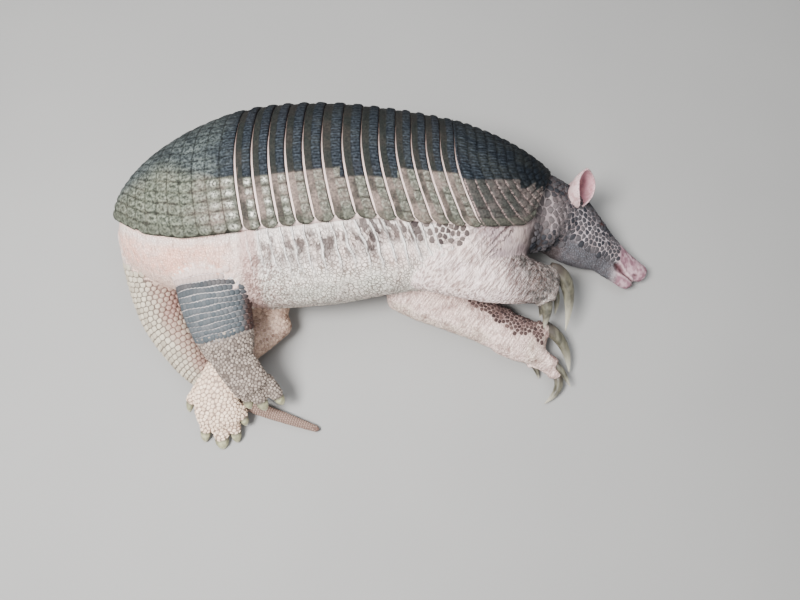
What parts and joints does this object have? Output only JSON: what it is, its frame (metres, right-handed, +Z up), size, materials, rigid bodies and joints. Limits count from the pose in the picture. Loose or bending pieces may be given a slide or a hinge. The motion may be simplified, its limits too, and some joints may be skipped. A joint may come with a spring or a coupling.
{
  "type": "giant armadillo",
  "caption": "Life-size still model of a giant armadillo lying on its left side, with a banded shell, folded legs, long digging claws and a curled tail.",
  "frame": {"origin": "centre of the bounding box, at floor level", "axes": "+X towards the head, +Y towards the back, +Z up from the floor that the left side rests on"},
  "size_m": [0.915, 0.5504, 0.2566],
  "materials": {
    "shell": "horny scutes, slate grey on the back and tan towards the lower edge, satin",
    "skin": "bare pinkish skin with fine wrinkles, matte to satin",
    "limb_skin": "bare wrinkled skin with small horny scales, matte",
    "tail_skin": "pinkish brown skin set with small pale scales, matte",
    "scales": "small horny scales of the head, limbs and tail, satin",
    "ear": "thin pink skin, pebbled outside, satin",
    "claw": "olive to yellowish horn, polished with lengthwise streaks",
    "eye": "wet dark eye"
  },
  "bodies": {
    "root": {"pelvic_shield": "shell", "band_01": "shell", "band_02": "shell", "band_03": "shell", "band_04": "shell", "band_05": "shell", "band_06": "shell", "band_07": "shell", "band_08": "shell", "band_09": "shell", "band_10": "shell", "band_11": "shell", "band_12": "shell", "band_13": "shell", "scapular_shield": "shell", "trunk": "skin", "neck": "skin", "head": "skin", "lower_jaw": "skin", "eye_right": "eye", "eye_left": "eye", "ear_right": "ear", "ear_left": "ear", "tail": "tail_skin", "foreleg_left": "limb_skin", "forefoot_left": "limb_skin", "claw_front_left_1": "claw", "claw_front_left_2": "claw", "claw_front_left_3": "claw", "claw_front_left_4": "claw", "claw_front_left_5": "claw", "foreleg_right": "limb_skin", "forefoot_right": "limb_skin", "claw_front_right_1": "claw", "claw_front_right_2": "claw", "claw_front_right_3": "claw", "claw_front_right_4": "claw", "claw_front_right_5": "claw", "hindleg_left": "limb_skin", "hindfoot_left": "limb_skin", "claw_hind_left_1": "claw", "claw_hind_left_2": "claw", "claw_hind_left_3": "claw", "claw_hind_left_4": "claw", "claw_hind_left_5": "claw", "hindleg_right": "limb_skin", "hindfoot_right": "limb_skin", "claw_hind_right_1": "claw", "claw_hind_right_2": "claw", "claw_hind_right_3": "claw", "claw_hind_right_4": "claw", "claw_hind_right_5": "claw"}
  },
  "joints": []
}
